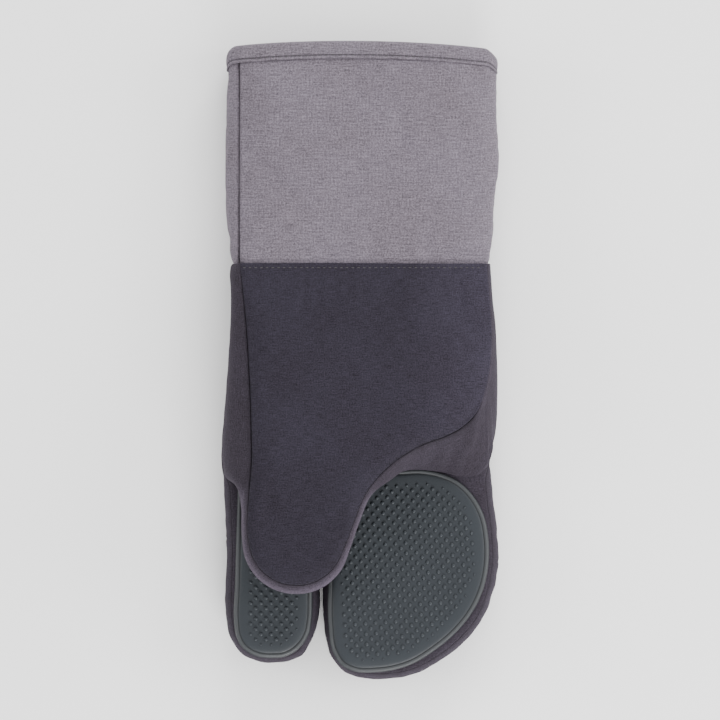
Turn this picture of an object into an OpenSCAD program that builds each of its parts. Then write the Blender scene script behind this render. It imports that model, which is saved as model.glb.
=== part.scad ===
// Long oven mitt with a thumb lobe that closes over an index lobe and a three-finger lobe.
// The mitt lies on its back: +Y points out of the cuff, +Z away from the back of the hand.
// The origin is under the middle of the whole mitt, on the surface that it lies on.

/* [Lengths] */
// Cuff, from the waist seam to the mouth
cuff_length = 129; // [105:1:160]
// Palm, from the waist seam to the knuckle line
palm_length = 116; // [95:1:142]
// Three-finger lobe, from the knuckle line to its tip
finger_length = 125; // [103:1:152]
// Index lobe, from the knuckle line to its tip
index_length = 115; // [95:1:140]
// Thumb lobe, from the knuckle line to its tip
thumb_length = 74.5; // [62:0.5:92]

/* [Widths] */
// Whole mitt across the knuckles
knuckle_width = 161; // [134:1:195]
// Mitt across the waist seam
waist_width = 151; // [138:1:158]
// Cuff across its mouth
mouth_width = 157; // [130:1:165]
// Index lobe
index_width = 54.6; // [45:0.2:66]
// Thumb lobe across its tip
thumb_width = 55; // [45:0.5:66]
// Middle of the thumb's tip, to the left of the mitt's middle
thumb_offset = 38; // [30:1:46]
// Gap between the index lobe and the three-finger lobe
finger_gap = 1.8; // [0.8:0.1:4]
// How far the index lobe stands in from the palm's edge
index_inset = 1.6; // [0.4:0.1:4]

/* [Lobe shape] */
// Radius of the three-finger lobe on the little finger's side
little_finger_radius = 66; // [50:1:78]
// Radius of the three-finger lobe beside the index finger
middle_finger_radius = 24; // [16:1:30]
// Splay of the thumb's outer side from the length of the mitt
thumb_outer_splay = 5.5; // [2:0.5:8]
// Splay of the thumb's inner side, which runs into the palm
thumb_inner_splay = 31; // [24:1:36]

/* [Depths] */
// Palm at the waist seam
palm_depth = 34; // [30:0.5:40]
// Finger lobes
lobe_depth = 26; // [22:0.5:31]
// Thumb lobe
thumb_depth = 22; // [19:0.5:26]
// Clearance between the closed thumb's pad and the finger pads
grip_clearance = 0.8; // [0.4:0.1:3]

/* [Layers] */
// Outer fabric
fabric_t = 1; // [0.6:0.1:1.4]
// Batting under the fabric
batting_t = 3; // [2:0.1:3.6]
// Lining
lining_t = 0.8; // [0.5:0.1:1]
// Silicone grip pad
pad_t = 2; // [1.2:0.1:2.6]
// Cloth of the hem
hem_t = 0.8; // [0.5:0.1:1.2]

/* [Seams] */
// Depth of the hem round the mouth
hem_depth = 10.5; // [8:0.5:18]
// Fabric rim that shows round each lobe's panel
lobe_rim = 4.5; // [3:0.5:7]
// Bare fabric between a lobe's edge and its grip pad
pad_inset = 5.4; // [4:0.1:9]
// From the knuckle line to the top of the grip pads
pad_start = 2.5; // [1:0.5:8]
// Width of the side that shows beside the front panel at the waist
waist_side = 6; // [4:0.5:9]
// Width of the side that shows beside the front panel at the knuckles
knuckle_side = 17; // [12:0.5:20]
// Height of the seam round the back of the hand
back_seam_z = 7; // [5:0.5:10]
// Distance from the waist seam to its topstitching
waist_stitch_offset = 2.9; // [1.5:0.1:5]
// Distance from the hem's lower edge to its topstitching
hem_stitch_offset = 2; // [1:0.1:4]
// Pitch of the topstitching
stitch_pitch = 3.3; // [2:0.1:5]
// Length of one stitch
stitch_length = 1.8; // [1:0.1:1.9]
// Thread radius
thread_r = 0.25; // [0.15:0.05:0.35]

/* [Web] */
// How far right of the thumb's middle line the web between thumb and fingers starts
web_start = 50; // [42:1:58]
// Angle of the web's upper edge across the mitt
web_angle = 32; // [26:1:38]
// Distance over which the web falls from the front panel to the fingers
web_run = 14; // [9:1:18]

/* [Hidden] */
$fn = 48;

// Clear gap between two bodies that move against each other
joint_gap = 0.4;
// Depths of the layers' faces below the outer surface
under_fabric = fabric_t;
under_batting = fabric_t + batting_t;
wall_t = fabric_t + batting_t + lining_t;

// Stations along the mitt
mitt_length = cuff_length + palm_length + finger_length;
mouth_y = mitt_length / 2;
waist_y = mouth_y - cuff_length;
knuckle_y = waist_y - palm_length;
finger_tip_y = knuckle_y - finger_length;

// Stations across the mitt
mitt_edge = knuckle_width / 2;
index_left = index_inset - mitt_edge;
index_mid = index_left + index_width / 2;
finger_left = index_left + index_width + finger_gap;
thumb_r = thumb_width / 2;
index_r = index_width / 2;

// Heights
thumb_z = lobe_depth + 2 * pad_t + grip_clearance;
knuckle_depth = thumb_z + thumb_depth;
palm_slope = atan((knuckle_depth - palm_depth) / palm_length);
palm_floor_depth = lobe_depth + pad_t;
palm_front_depth = palm_depth - 3;
palm_split_z = palm_depth / 2;
// Lower limit of the front panel, well under its seams at the waist
front_base_z = palm_depth - 9;

// Edge rounding of the bodies
palm_round = 13;
lobe_round = 10;
thumb_round = 9;

// Long enough to run past any end
far = 400;

// ---- solids that the bodies are cut from; t is the depth below the outer surface ----

// Rectangle with round corners, its lower left corner at the origin
module round_section(w, h, r) {
    translate([r, 0]) square([w - 2 * r, h]);
    translate([0, r]) square([w, h - 2 * r]);
    for (x = [r, w - r], y = [r, h - r]) translate([x, y]) circle(r);
}

// Bar with a round section that runs along +Y from its start
module bar(w, h, r, length) {
    translate([-w / 2, length, 0])
        rotate([90, 0, 0])
            linear_extrude(length) round_section(w, h, r);
}

// Disc with round rims
module disc(radius, h, r) {
    rotate_extrude() intersection() {
        translate([-radius, 0]) round_section(2 * radius, h, r);
        square([radius, h]);
    }
}

// Slab whose left and right edges run from the first half-width or edge to the second
module tapered_slab(y0, left0, right0, y1, left1, right1, z, h, r, t) {
    left_turn = atan((left1 - left0) / (y1 - y0));
    right_turn = atan((right1 - right0) / (y1 - y0));
    intersection() {
        translate([left0, y0, z + t]) rotate([0, 0, -left_turn])
            translate([far / 2 + t, -far / 2, 0]) bar(far, h - 2 * t, r - t, far);
        translate([right0, y0, z + t]) rotate([0, 0, -right_turn])
            translate([-far / 2 - t, -far / 2, 0]) bar(far, h - 2 * t, r - t, far);
    }
}

// Everything between two stations along the mitt
module between(y0, y1) {
    translate([-far / 2, y0, -far / 2]) cube([far, y1 - y0, far]);
}

// Everything above a height
module above(z) {
    translate([-far / 2, -far / 2, z]) cube([far, far, far]);
}

// ---- cuff ----

module cuff_solid(t) {
    tapered_slab(waist_y, -waist_width / 2, waist_width / 2,
                 mouth_y, -mouth_width / 2, mouth_width / 2,
                 hem_t, palm_depth, palm_round, t);
}

module cuff_layer(outer, inner, end) {
    intersection() {
        difference() {
            cuff_solid(outer);
            cuff_solid(inner);
        }
        between(waist_y + joint_gap / 2, end);
    }
}

// Front face of the cuff, right of the seam near its left edge
module cuff_front_zone() {
    translate([waist_side - waist_width / 2, waist_y - 1, hem_t + palm_split_z])
        cube([far, cuff_length + 2, far]);
}

module cuff_front() {
    color([0.59, 0.56, 0.60]) intersection() {
        cuff_layer(0, under_fabric, mouth_y - hem_t);
        cuff_front_zone();
    }
}

module cuff_back() {
    color([0.59, 0.56, 0.60]) difference() {
        cuff_layer(0, under_fabric, mouth_y - hem_t);
        cuff_front_zone();
    }
}

module cuff_front_batting() {
    color([0.90, 0.88, 0.83]) intersection() {
        cuff_layer(under_fabric, under_batting, mouth_y - hem_t);
        above(hem_t + palm_split_z);
    }
}

module cuff_back_batting() {
    color([0.90, 0.88, 0.83]) difference() {
        cuff_layer(under_fabric, under_batting, mouth_y - hem_t);
        above(hem_t + palm_split_z);
    }
}

module cuff_lining() {
    color([0.55, 0.53, 0.57]) cuff_layer(under_batting, wall_t, mouth_y - hem_t);
}

// Folded band: outside, round the edge and back down the inside
module cuff_hem() {
    color([0.51, 0.49, 0.52]) intersection() {
        difference() {
            cuff_solid(-hem_t);
            cuff_solid(wall_t + hem_t);
            intersection() {
                difference() {
                    cuff_solid(0);
                    cuff_solid(wall_t);
                }
                between(waist_y, mouth_y - hem_t);
            }
        }
        between(mouth_y - hem_depth, mouth_y);
    }
}

// One row of stitches across the mitt, half sunk in the cloth at height z
module stitch_row(y, z, half_width) {
    count = floor(half_width / stitch_pitch);
    for (i = [-count:count])
        translate([i * stitch_pitch - stitch_length / 2, y, z])
            rotate([0, 90, 0]) cylinder(h = stitch_length, r = thread_r);
}

module hem_stitching() {
    hem_stitch_y = mouth_y - hem_depth + hem_stitch_offset;
    flat_half = mouth_width / 2 - palm_round - 2;
    color([0.72, 0.70, 0.70]) {
        stitch_row(hem_stitch_y, 2 * hem_t + palm_depth, flat_half);
        stitch_row(hem_stitch_y, thread_r, flat_half);
    }
}

// ---- palm ----

// Room above the finger lobe that the web slants down into
module web_cut(t) {
    web_x = web_start - thumb_offset;
    fall = knuckle_depth - lobe_depth;
    lean = atan(web_run / fall);
    intersection() {
        translate([web_x, knuckle_y, knuckle_depth]) rotate([0, 0, web_angle])
            rotate([-lean, 0, 0]) translate([-far / 2, t - far, -far / 2])
                cube([far, far, far]);
        above(lobe_depth - t);
    }
}

module palm_solid(t) {
    difference() {
        union() {
            tapered_slab(waist_y, -waist_width / 2, waist_width / 2,
                         knuckle_y, -mitt_edge, mitt_edge,
                         0, palm_floor_depth, palm_round, t);
            translate([0, waist_y, palm_depth]) rotate([-palm_slope, 0, 0])
                translate([0, -waist_y, -palm_front_depth])
                    tapered_slab(waist_y, -waist_width / 2, waist_width / 2,
                                 knuckle_y, knuckle_side / 2 - mitt_edge, mitt_edge,
                                 0, palm_front_depth, palm_round, t);
        }
        web_cut(t);
    }
}

// Strip that closes the fork between the thumb pocket and the finger pockets
module crotch_zone() {
    translate([-far / 2, knuckle_y - 1, lobe_depth - wall_t])
        cube([far, 1 + joint_gap / 2 + 2 * fabric_t, thumb_z - lobe_depth + 2 * wall_t]);
    translate([index_left + index_width - wall_t, knuckle_y - 1, wall_t])
        cube([finger_gap + 2 * wall_t, 1 + joint_gap / 2 + 2 * fabric_t, lobe_depth]);
}

module palm_layer(outer, inner) {
    intersection() {
        difference() {
            palm_solid(outer);
            palm_solid(inner);
        }
        between(knuckle_y + joint_gap / 2, waist_y - joint_gap / 2);
    }
}

module palm_fabric() {
    difference() {
        palm_layer(0, under_fabric);
        web_cut(under_fabric);
    }
}

// Front of the palm between its two long seams
module front_zone() {
    tapered_slab(waist_y, waist_side - waist_width / 2, waist_width / 2 - waist_side,
                 knuckle_y, knuckle_side - mitt_edge, mitt_edge - waist_side,
                 front_base_z, far, 1, 0);
}

module palm_front_panel() {
    color([0.28, 0.25, 0.30]) difference() {
        intersection() {
            palm_fabric();
            front_zone();
        }
        crotch_zone();
    }
}

module side_gusset(side) {
    color([0.32, 0.29, 0.33]) difference() {
        intersection() {
            palm_fabric();
            above(back_seam_z);
            translate([side * far / 2, 0, 0]) cube([far, far, far], center = true);
        }
        front_zone();
        crotch_zone();
    }
}

module outer_side_gusset() {
    side_gusset(-1);
}

module inner_side_gusset() {
    side_gusset(1);
}

module palm_web() {
    color([0.32, 0.29, 0.34]) difference() {
        intersection() {
            palm_solid(0);
            web_cut(under_fabric);
            between(knuckle_y + joint_gap / 2, waist_y - joint_gap / 2);
        }
        crotch_zone();
    }
}

module hand_back_panel() {
    color([0.28, 0.25, 0.30]) difference() {
        palm_fabric();
        above(back_seam_z);
        crotch_zone();
    }
}

module palm_batting() {
    color([0.90, 0.88, 0.83]) difference() {
        intersection() {
            palm_layer(under_fabric, under_batting);
            above(palm_split_z);
        }
        crotch_zone();
    }
}

module hand_back_batting() {
    color([0.90, 0.88, 0.83]) difference() {
        palm_layer(under_fabric, under_batting);
        above(palm_split_z);
        crotch_zone();
    }
}

module hand_lining() {
    color([0.55, 0.53, 0.57]) difference() {
        palm_layer(under_batting, wall_t);
        crotch_zone();
    }
}

module crotch_panel() {
    color([0.32, 0.29, 0.34]) intersection() {
        palm_solid(0);
        crotch_zone();
        between(knuckle_y + joint_gap / 2, waist_y);
    }
}

module waist_stitching() {
    stitch_y = waist_y - waist_stitch_offset;
    front_z = palm_depth + waist_stitch_offset * tan(palm_slope);
    flat_half = waist_width / 2 - palm_round - 2;
    color([0.60, 0.57, 0.53]) {
        stitch_row(stitch_y, front_z, flat_half);
        stitch_row(stitch_y, thread_r, flat_half);
    }
}

// ---- thumb lobe ----

module thumb_place() {
    translate([-thumb_offset, knuckle_y - thumb_length + thumb_r, thumb_z]) children();
}

// The tip's disc and the two bars that fan out from it to the palm
module thumb_solid(t) {
    thumb_place() translate([0, 0, t]) {
        disc(thumb_r - t, thumb_depth - 2 * t, thumb_round - t);
        for (turn = [thumb_outer_splay, -thumb_inner_splay])
            rotate([0, 0, turn])
                bar(thumb_width - 2 * t, thumb_depth - 2 * t, thumb_round - t, thumb_length + 40);
    }
}

// The thumb's outline, t inside its edge
module thumb_outline(t) {
    circle(thumb_r - t);
    for (turn = [thumb_outer_splay, -thumb_inner_splay])
        rotate(turn) translate([t - thumb_r, 0])
            square([thumb_width - 2 * t, thumb_length + 40]);
}

module thumb_prism(t) {
    thumb_place() translate([0, 0, -far / 2]) linear_extrude(far) thumb_outline(t);
}

// ---- index lobe ----

module index_place() {
    translate([index_mid, knuckle_y - index_length + index_r, 0]) children();
}

module index_solid(t) {
    index_place() translate([0, 0, t]) {
        disc(index_r - t, lobe_depth - 2 * t, lobe_round - t);
        bar(index_width - 2 * t, lobe_depth - 2 * t, lobe_round - t, index_length);
    }
}

module index_prism(t) {
    index_place() translate([0, 0, -far / 2]) linear_extrude(far) {
        circle(index_r - t);
        translate([t - index_r, 0]) square([index_width - 2 * t, index_length]);
    }
}

// ---- three-finger lobe ----

// Centres of the arcs at the two ends of its tip, joined by a level edge where they stand apart
little_x = mitt_edge - little_finger_radius;
little_y = finger_tip_y + little_finger_radius;
middle_x = finger_left + middle_finger_radius;
middle_y = finger_tip_y + middle_finger_radius;
finger_width = mitt_edge - finger_left;

module finger_solid(t) {
    h = lobe_depth - 2 * t;
    r = lobe_round - t;
    translate([0, 0, t]) {
        translate([middle_x, middle_y, 0]) {
            disc(middle_finger_radius - t, h, r);
            bar(2 * (middle_finger_radius - t), h, r, finger_length);
            if (little_x > middle_x)
                rotate([0, 0, -90])
                    bar(2 * (middle_finger_radius - t), h, r, little_x - middle_x);
        }
        translate([finger_left + finger_width / 2, little_y, 0])
            bar(finger_width - 2 * t, h, r, finger_length);
        intersection() {
            translate([little_x, little_y, 0]) disc(little_finger_radius - t, h, r);
            translate([middle_x, little_y - far / 2, -1]) cube([far, far, far]);
        }
    }
}

module finger_prism(t) {
    translate([0, 0, -far / 2]) linear_extrude(far) {
        translate([middle_x, middle_y]) {
            circle(middle_finger_radius - t);
            translate([t - middle_finger_radius, 0])
                square([2 * (middle_finger_radius - t), finger_length]);
            if (little_x > middle_x)
                translate([0, t - middle_finger_radius])
                    square([little_x - middle_x, 2 * (middle_finger_radius - t)]);
        }
        translate([finger_left + t, little_y]) square([finger_width - 2 * t, finger_length]);
        intersection() {
            translate([little_x, little_y]) circle(little_finger_radius - t);
            translate([middle_x, little_y - far / 2]) square([far, far]);
        }
    }
}

// ---- pieces of a lobe: child 0 is the outer solid, child 1 the inner one, child 2 the prism ----

module lobe_trim() {
    intersection() {
        children();
        between(finger_tip_y - 10, knuckle_y - joint_gap / 2);
    }
}

// Top or bottom panel inside the rim
module lobe_panel(mid_z, top) {
    lobe_trim() intersection() {
        difference() {
            children(0);
            children(1);
        }
        children(2);
        translate([0, 0, top ? 0 : -far]) above(mid_z);
    }
}

// The side all round the lobe, between its two panels
module lobe_gusset() {
    lobe_trim() difference() {
        children(0);
        children(1);
        children(2);
    }
}

// Upper or lower half of a layer
module lobe_half(mid_z, top) {
    lobe_trim() intersection() {
        difference() {
            children(0);
            children(1);
        }
        translate([0, 0, top ? 0 : -far]) above(mid_z);
    }
}

// Pad that follows the panel under it
module lobe_pad() {
    intersection() {
        difference() {
            children(0);
            children(1);
        }
        children(2);
        above(lobe_mid_z);
        between(finger_tip_y - 10, knuckle_y - pad_start);
    }
}

module lobe_sleeve() {
    lobe_trim() difference() {
        children(0);
        children(1);
    }
}

thumb_mid_z = thumb_z + thumb_depth / 2;
lobe_mid_z = lobe_depth / 2;

module thumb_front_panel() {
    color([0.28, 0.25, 0.30]) lobe_panel(thumb_mid_z, true) {
        thumb_solid(0);
        thumb_solid(under_fabric);
        thumb_prism(lobe_rim);
    }
}

module thumb_gusset() {
    color([0.32, 0.29, 0.33]) lobe_gusset() {
        thumb_solid(0);
        thumb_solid(under_fabric);
        thumb_prism(lobe_rim);
    }
}

module thumb_grip_panel() {
    color([0.28, 0.25, 0.30]) lobe_panel(thumb_mid_z, false) {
        thumb_solid(0);
        thumb_solid(under_fabric);
        thumb_prism(lobe_rim);
    }
}

// Flat pad on the level part of the thumb's underside
module thumb_grip_pad() {
    color([0.30, 0.33, 0.35]) intersection() {
        thumb_place() translate([0, 0, -pad_t]) linear_extrude(pad_t) thumb_outline(thumb_round);
        between(finger_tip_y, knuckle_y - pad_start);
    }
}

module thumb_front_batting() {
    color([0.90, 0.88, 0.83]) lobe_half(thumb_mid_z, true) {
        thumb_solid(under_fabric);
        thumb_solid(under_batting);
    }
}

module thumb_grip_batting() {
    color([0.90, 0.88, 0.83]) lobe_half(thumb_mid_z, false) {
        thumb_solid(under_fabric);
        thumb_solid(under_batting);
    }
}

module thumb_lining() {
    color([0.55, 0.53, 0.57]) lobe_sleeve() {
        thumb_solid(under_batting);
        thumb_solid(wall_t);
    }
}

module index_grip_panel() {
    color([0.28, 0.25, 0.30]) lobe_panel(lobe_mid_z, true) {
        index_solid(0);
        index_solid(under_fabric);
        index_prism(lobe_rim);
    }
}

module index_gusset() {
    color([0.32, 0.29, 0.33]) lobe_gusset() {
        index_solid(0);
        index_solid(under_fabric);
        index_prism(lobe_rim);
    }
}

module index_back_panel() {
    color([0.28, 0.25, 0.30]) lobe_panel(lobe_mid_z, false) {
        index_solid(0);
        index_solid(under_fabric);
        index_prism(lobe_rim);
    }
}

module index_grip_pad() {
    color([0.30, 0.33, 0.35]) lobe_pad() {
        index_solid(-pad_t);
        index_solid(0);
        index_prism(pad_inset);
    }
}

module index_grip_batting() {
    color([0.90, 0.88, 0.83]) lobe_half(lobe_mid_z, true) {
        index_solid(under_fabric);
        index_solid(under_batting);
    }
}

module index_back_batting() {
    color([0.90, 0.88, 0.83]) lobe_half(lobe_mid_z, false) {
        index_solid(under_fabric);
        index_solid(under_batting);
    }
}

module index_lining() {
    color([0.55, 0.53, 0.57]) lobe_sleeve() {
        index_solid(under_batting);
        index_solid(wall_t);
    }
}

module finger_grip_panel() {
    color([0.28, 0.25, 0.30]) lobe_panel(lobe_mid_z, true) {
        finger_solid(0);
        finger_solid(under_fabric);
        finger_prism(lobe_rim);
    }
}

module finger_gusset() {
    color([0.32, 0.29, 0.33]) lobe_gusset() {
        finger_solid(0);
        finger_solid(under_fabric);
        finger_prism(lobe_rim);
    }
}

module finger_back_panel() {
    color([0.28, 0.25, 0.30]) lobe_panel(lobe_mid_z, false) {
        finger_solid(0);
        finger_solid(under_fabric);
        finger_prism(lobe_rim);
    }
}

module finger_grip_pad() {
    color([0.30, 0.33, 0.35]) lobe_pad() {
        finger_solid(-pad_t);
        finger_solid(0);
        finger_prism(pad_inset);
    }
}

module finger_grip_batting() {
    color([0.90, 0.88, 0.83]) lobe_half(lobe_mid_z, true) {
        finger_solid(under_fabric);
        finger_solid(under_batting);
    }
}

module finger_back_batting() {
    color([0.90, 0.88, 0.83]) lobe_half(lobe_mid_z, false) {
        finger_solid(under_fabric);
        finger_solid(under_batting);
    }
}

module finger_lining() {
    color([0.55, 0.53, 0.57]) lobe_sleeve() {
        finger_solid(under_batting);
        finger_solid(wall_t);
    }
}

cuff_front();
cuff_back();
cuff_front_batting();
cuff_back_batting();
cuff_lining();
cuff_hem();
hem_stitching();
palm_front_panel();
outer_side_gusset();
inner_side_gusset();
palm_web();
hand_back_panel();
palm_batting();
hand_back_batting();
hand_lining();
crotch_panel();
waist_stitching();
thumb_front_panel();
thumb_gusset();
thumb_grip_panel();
thumb_grip_pad();
thumb_front_batting();
thumb_grip_batting();
thumb_lining();
index_grip_panel();
index_gusset();
index_back_panel();
index_grip_pad();
index_grip_batting();
index_back_batting();
index_lining();
finger_grip_panel();
finger_gusset();
finger_back_panel();
finger_grip_pad();
finger_grip_batting();
finger_back_batting();
finger_lining();
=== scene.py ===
"""Looks of a long padded oven mitt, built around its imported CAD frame.

Lengths in this file are millimetres until a mesh is made. Outline points are (x from the mitt's
middle line, y from the knuckle line); the stations they hang on are read from the frame.
"""

import math

import bmesh
import bpy
import numpy as np
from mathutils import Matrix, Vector, geometry, kdtree, noise


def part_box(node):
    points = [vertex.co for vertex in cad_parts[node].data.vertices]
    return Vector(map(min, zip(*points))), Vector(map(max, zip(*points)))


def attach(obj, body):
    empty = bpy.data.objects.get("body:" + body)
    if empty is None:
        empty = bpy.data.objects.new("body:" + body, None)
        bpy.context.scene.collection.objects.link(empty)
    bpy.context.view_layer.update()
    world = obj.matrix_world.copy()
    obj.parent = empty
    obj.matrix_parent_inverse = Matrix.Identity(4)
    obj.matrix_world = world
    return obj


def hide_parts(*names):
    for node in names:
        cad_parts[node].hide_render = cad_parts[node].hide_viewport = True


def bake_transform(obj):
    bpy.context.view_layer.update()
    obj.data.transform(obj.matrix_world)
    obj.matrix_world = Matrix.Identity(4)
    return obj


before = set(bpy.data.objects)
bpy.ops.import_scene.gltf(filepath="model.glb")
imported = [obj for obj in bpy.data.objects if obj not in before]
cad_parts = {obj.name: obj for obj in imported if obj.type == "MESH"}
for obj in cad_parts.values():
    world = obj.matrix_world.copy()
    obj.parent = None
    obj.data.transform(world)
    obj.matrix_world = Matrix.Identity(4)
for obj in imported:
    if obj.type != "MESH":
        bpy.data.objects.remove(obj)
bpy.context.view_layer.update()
MM = 0.001


# ---------------------------------------------------------------- stations from the frame

def low(node):
    return np.array(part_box(node)[0]) / MM


def high(node):
    return np.array(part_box(node)[1]) / MM


KNUCKLE = (low("palm_front_panel")[1] + high("thumb_front_panel")[1]) / 2
WAIST = (low("cuff_front")[1] + high("palm_front_panel")[1]) / 2 - KNUCKLE
MOUTH = high("cuff_hem")[1] - KNUCKLE
PALM_TOP = high("cuff_front")[2]
LOBE_TOP = high("finger_grip_panel")[2]
PAD_T = high("finger_grip_pad")[2] - LOBE_TOP
THUMB_BASE = low("thumb_grip_panel")[2]
THUMB_TOP = high("thumb_front_panel")[2]
CUFF_BASE = low("cuff_back")[2]
# End of the hand's cloth, just over the cuff's
HAND_END = WAIST + 0.8

CLOTH_T = 1.0
LINING_T = 0.8
WALL = low("cuff_lining")[2] - CUFF_BASE + LINING_T
# Spacing of points along a seam
SEAM_STEP = 0.9


# ---------------------------------------------------------------- curves

def smoothstep(t):
    t = np.clip(t, 0.0, 1.0)
    return t * t * (3 - 2 * t)


def bell(t):
    """1 at 0, and next to nothing from 2 on either side."""
    return np.exp(-t**2)


def stack(*columns):
    return np.column_stack(columns)


def arc_length(curve):
    return np.concatenate([[0], np.cumsum(np.linalg.norm(np.diff(curve, axis=0), axis=1))])


def at_run(lengths, run, curve):
    """The curve's points at the given lengths, where run is the length at each of its own points."""
    return stack(*(np.interp(lengths, run, column) for column in curve.T))


def through(knots, step=SEAM_STEP):
    """Evenly spaced points on a smooth curve through the knots, in any number of columns.
    The first two columns are the plan that the spacing is measured in."""
    p = np.array(knots, float)
    chord = np.maximum(np.linalg.norm(np.diff(p[:, :2], axis=0), axis=1), 1e-6)
    t = np.concatenate([[0], np.cumsum(chord)])
    slope = np.diff(p, axis=0) / chord[:, None]
    tangent = np.empty_like(p)
    tangent[0], tangent[-1] = slope[0], slope[-1]
    before, after = chord[:-1, None], chord[1:, None]
    tangent[1:-1] = (slope[:-1] * after + slope[1:] * before) / (before + after)
    fine = np.linspace(0, t[-1], int(t[-1] / step * 6) + 2)
    i = np.clip(np.searchsorted(t, fine, side="right") - 1, 0, len(chord) - 1)
    h = chord[i][:, None]
    u = ((fine - t[i]) / chord[i])[:, None]
    dense = ((2 * u**3 - 3 * u**2 + 1) * p[i] + (u**3 - 2 * u**2 + u) * h * tangent[i]
             + (3 * u**2 - 2 * u**3) * p[i + 1] + (u**3 - u**2) * h * tangent[i + 1])
    run = arc_length(dense[:, :2])
    return at_run(np.linspace(0, run[-1], max(3, int(run[-1] / step))), run, dense)


def straight(corners):
    """Evenly spaced points along straight lines between plan corners."""
    p = np.array(corners, float)
    run = arc_length(p)
    return at_run(np.linspace(0, run[-1], max(2, int(run[-1] / SEAM_STEP))), run, p)


def outward(curve):
    """Unit plan normals to the right of travel, which is outward on a curve run anticlockwise."""
    d = np.gradient(curve[:, :2], axis=0)
    d /= np.maximum(np.linalg.norm(d, axis=1), 1e-9)[:, None]
    return stack(d[:, 1], -d[:, 0])


def at_y(curve, y):
    """The curve's point at height y, for a stretch of curve that runs steadily up or down."""
    rising = curve[np.argsort(curve[:, 1])]
    return np.array([np.interp(y, rising[:, 1], column) for column in rising.T])


def ripple(x, y, size, seed=0.0):
    """Smooth noise about 0 at each (x, y), with bumps about size across."""
    return np.array([noise.noise(Vector((a / size, b / size, seed))) for a, b in zip(x, y)])


# ---------------------------------------------------------------- meshes

def inside(points, loop):
    x, y = points[:, 0][:, None], points[:, 1][:, None]
    ax, ay = loop[:, 0][None], loop[:, 1][None]
    bx, by = np.roll(loop[:, 0], -1)[None], np.roll(loop[:, 1], -1)[None]
    crosses = (ay > y) != (by > y)
    at = ax + (y - ay) * (bx - ax) / np.where(by == ay, 1e-9, by - ay)
    return (crosses & (x < at)).sum(axis=1) % 2 == 1


def nearest(points, others):
    """Plan distance from each point to the nearest of the others, and that one's index."""
    tree = kdtree.KDTree(len(others))
    for i, p in enumerate(others):
        tree.insert((p[0], p[1], 0), i)
    tree.balance()
    found = [tree.find((p[0], p[1], 0)) for p in points]
    return np.array([f[2] for f in found]), np.array([f[1] for f in found])


def nearest_on(points, curve, closed=True):
    """Plan distance from each point to a curve, and the index of the nearest curve point."""
    best, index = nearest(points, curve)
    plan, last = curve[:, :2], len(curve) - 1
    a = plan[index]
    for beside in (index - 1, index + 1):
        d = plan[beside % (last + 1) if closed else np.clip(beside, 0, last)] - a
        t = np.clip(((points - a) * d).sum(1) / np.maximum((d * d).sum(1), 1e-9), 0, 1)
        best = np.minimum(best, np.linalg.norm(points - a - d * t[:, None], axis=1))
    return best, index


def fill_loop(loop, spacing, guides=()):
    """Triangles over a closed plan loop: its own points, then those of the guides and of a lattice.
    Returns the points, the faces and the count of points on the loop."""
    low_corner, high_corner = loop.min(0), loop.max(0)
    rows = np.arange(low_corner[1], high_corner[1], spacing * math.sqrt(3) / 2)
    lattice = np.array([(x + (r % 2) * spacing / 2, y) for r, y in enumerate(rows)
                        for x in np.arange(low_corner[0], high_corner[0], spacing)])
    kept = [loop]
    for layer, room in [(guide, 0.5 * SEAM_STEP) for guide in guides] + [(lattice, 0.55 * spacing)]:
        layer = layer[inside(layer, loop)]
        kept.append(layer[nearest(layer, np.vstack(kept))[0] > room])
    points = np.vstack(kept)
    count = len(loop)
    edges = [(i, (i + 1) % count) for i in range(count)]
    made = geometry.delaunay_2d_cdt([Vector(p) for p in points], edges, [], 1, 1e-5)
    verts = np.array([tuple(v) for v in made[0]])
    faces = [f if signed_area(verts, f) > 0 else f[::-1] for f in made[2]]
    return verts, faces, count


def signed_area(verts, face):
    a, b, c = (verts[i] for i in face[:3])
    return (b[0] - a[0]) * (c[1] - a[1]) - (c[0] - a[0]) * (b[1] - a[1])


def make(name, verts, faces, material, values=None, cloth=None):
    """A smooth-shaded mesh object from millimetre points whose y is counted from the knuckle line.
    cloth holds each point's place on the flat cloth, which its weave follows; else its plan is used."""
    mesh = bpy.data.meshes.new(name)
    verts = np.asarray(verts, float)
    moved = (verts + [0, KNUCKLE, 0]) * MM
    mesh.from_pydata(moved.tolist(), [], [list(f) for f in faces])
    flat = np.zeros(verts.shape)
    flat[:, :2] = (verts[:, :2] if cloth is None else cloth) * MM
    mesh.attributes.new("cloth", "FLOAT_VECTOR", "POINT").data.foreach_set("vector", flat.ravel())
    mesh.update()
    mesh.shade_smooth()
    for key, data in (values or {}).items():
        values_at = mesh.attributes.new(key, "FLOAT", "POINT").data
        values_at.foreach_set("value", np.asarray(data, np.float32))
    obj = bpy.data.objects.new(name, mesh)
    bpy.context.scene.collection.objects.link(obj)
    obj.data.materials.append(material)
    return obj


def grid_faces(rows, columns, closed=False, flip=False):
    """Faces of a grid of points stored row by row; a closed one joins its last row to its first."""
    faces = []
    for i in range(rows if closed else rows - 1):
        a, b = i * columns, (i + 1) % rows * columns
        faces += [(a + j, b + j, b + j + 1, a + j + 1) for j in range(columns - 1)]
    return [f[::-1] for f in faces] if flip else faces


def tube_faces(base, rings, sides):
    """Faces between rings of points that follow each other from index base."""
    return [(base + i * sides + j, base + i * sides + (j + 1) % sides,
             base + (i + 1) * sides + (j + 1) % sides, base + (i + 1) * sides + j)
            for i in range(rings - 1) for j in range(sides)]


def circle(count):
    return np.linspace(0, 2 * math.pi, count, endpoint=False)


def push(obj, directions, amounts):
    """Moves each vertex along its direction by its amount."""
    for vertex, direction, amount in zip(obj.data.vertices, directions, amounts):
        vertex.co += Vector(direction * amount * MM)


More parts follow.
